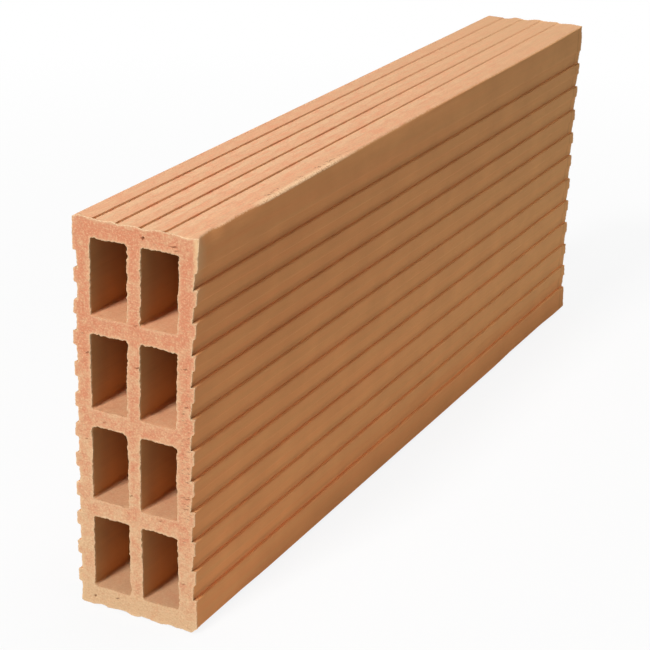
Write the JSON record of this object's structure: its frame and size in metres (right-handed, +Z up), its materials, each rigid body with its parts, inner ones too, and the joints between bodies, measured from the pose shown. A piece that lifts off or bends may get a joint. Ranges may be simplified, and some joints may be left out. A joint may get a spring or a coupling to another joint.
{
  "type": "clay brick",
  "caption": "Extruded fired-clay partition brick with through cells along its length and grooved faces that key mortar and plaster.",
  "frame": {"origin": "middle of the lower bed, at the centre of the brick's bounding box seen from above", "axes": "+X across the thickness, +Y along the length and the cells, +Z up, from bed to bed"},
  "size_m": [0.067, 0.5, 0.2],
  "materials": {
    "fired_clay": "matte unglazed fired clay, salmon to peach with cream mottling, wire-cut ends"
  },
  "bodies": {
    "root": {"hollow_brick": "fired_clay"}
  },
  "joints": []
}
